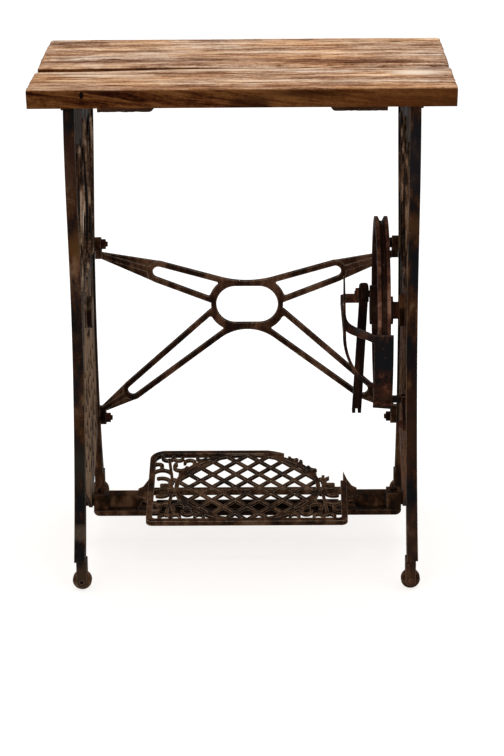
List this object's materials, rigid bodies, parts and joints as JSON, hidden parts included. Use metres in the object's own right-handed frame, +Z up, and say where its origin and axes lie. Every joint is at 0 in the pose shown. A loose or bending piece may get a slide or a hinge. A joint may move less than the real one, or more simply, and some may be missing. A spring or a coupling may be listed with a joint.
{
  "type": "treadle stand work table",
  "caption": "Work table with a top of old boards on a cast-iron treadle stand: openwork side frames, cross brace, drive wheel, dress guard and rocking lattice pedal.",
  "frame": {"origin": "on the floor, midway between the four casters, below the middle of the top", "axes": "+Z up, +X to the right seen from the front, where the drive wheel is, +Y to the back"},
  "size_m": [0.604, 0.436, 0.745],
  "materials": {
    "top_boards": "weathered, bare",
    "batten_wood": "dark, rough sawn",
    "frame_iron": "worn black paint over brown rust",
    "drive_iron": "worn black paint over brown rust",
    "treadle_iron": "rusted",
    "rod_wood": "dark stained",
    "bush_brass": "dull",
    "fastener_steel": "rust brown",
    "caster_iron": "bare, worn by the floor"
  },
  "bodies": {
    "stand": {"front_board": "top_boards", "back_board": "top_boards", "left_batten": "batten_wood", "right_batten": "batten_wood", "left_frame": "frame_iron", "right_frame": "frame_iron", "cross_brace": "frame_iron", "dress_guard": "drive_iron", "guard_arm": "drive_iron", "treadle_stretcher": "treadle_iron", "batten_screws": "fastener_steel", "frame_screws": "fastener_steel", "brace_bolts": "fastener_steel", "brace_nuts": "fastener_steel", "wheel_axle": "fastener_steel", "axle_washer": "fastener_steel", "axle_end_nut": "fastener_steel", "axle_frame_nut": "fastener_steel", "guard_rivets": "fastener_steel", "guard_bolt": "fastener_steel", "guard_nut": "fastener_steel", "left_pivot_set_screw": "fastener_steel", "right_pivot_set_screw": "fastener_steel", "left_pivot_bolt": "fastener_steel", "right_pivot_bolt": "fastener_steel", "front_left_caster_pin": "fastener_steel", "front_right_caster_pin": "fastener_steel", "back_left_caster_pin": "fastener_steel", "back_right_caster_pin": "fastener_steel"},
    "drive_wheel": {"drive_wheel": "drive_iron", "crank_pin": "fastener_steel", "crank_nut": "fastener_steel"},
    "pitman": {"pitman_rod": "rod_wood", "pitman_bush": "bush_brass"},
    "treadle": {"treadle_pedal": "treadle_iron"},
    "front_left_caster": {"front_left_caster": "caster_iron"},
    "front_right_caster": {"front_right_caster": "caster_iron"},
    "back_left_caster": {"back_left_caster": "caster_iron"},
    "back_right_caster": {"back_right_caster": "caster_iron"}
  },
  "joints": [
    {"name": "wheel_spin", "type": "hinge", "parent": "stand", "child": "drive_wheel", "pos_m": [0.2035, 0, 0.366], "axis": [1, 0, 0], "continuous": true},
    {"name": "pitman_swing", "type": "hinge", "parent": "drive_wheel", "child": "pitman", "pos_m": [0.1777, 0, 0.392], "axis": [1, 0, 0], "continuous": true},
    {"name": "treadle_rock", "type": "hinge", "parent": "stand", "child": "treadle", "pos_m": [0, 0, 0.067], "axis": [1, 0, 0], "range_deg": [-27, 0]},
    {"name": "front_left_roll", "type": "hinge", "parent": "stand", "child": "front_left_caster", "pos_m": [-0.241, -0.204, 0.014], "axis": [0, 1, 0], "continuous": true},
    {"name": "front_right_roll", "type": "hinge", "parent": "stand", "child": "front_right_caster", "pos_m": [0.241, -0.204, 0.014], "axis": [0, 1, 0], "continuous": true},
    {"name": "back_left_roll", "type": "hinge", "parent": "stand", "child": "back_left_caster", "pos_m": [-0.241, 0.204, 0.014], "axis": [0, 1, 0], "continuous": true},
    {"name": "back_right_roll", "type": "hinge", "parent": "stand", "child": "back_right_caster", "pos_m": [0.241, 0.204, 0.014], "axis": [0, 1, 0], "continuous": true}
  ],
  "couplings": [
    {"joint": "pitman_swing", "follows": "wheel_spin", "ratio": -1}
  ]
}
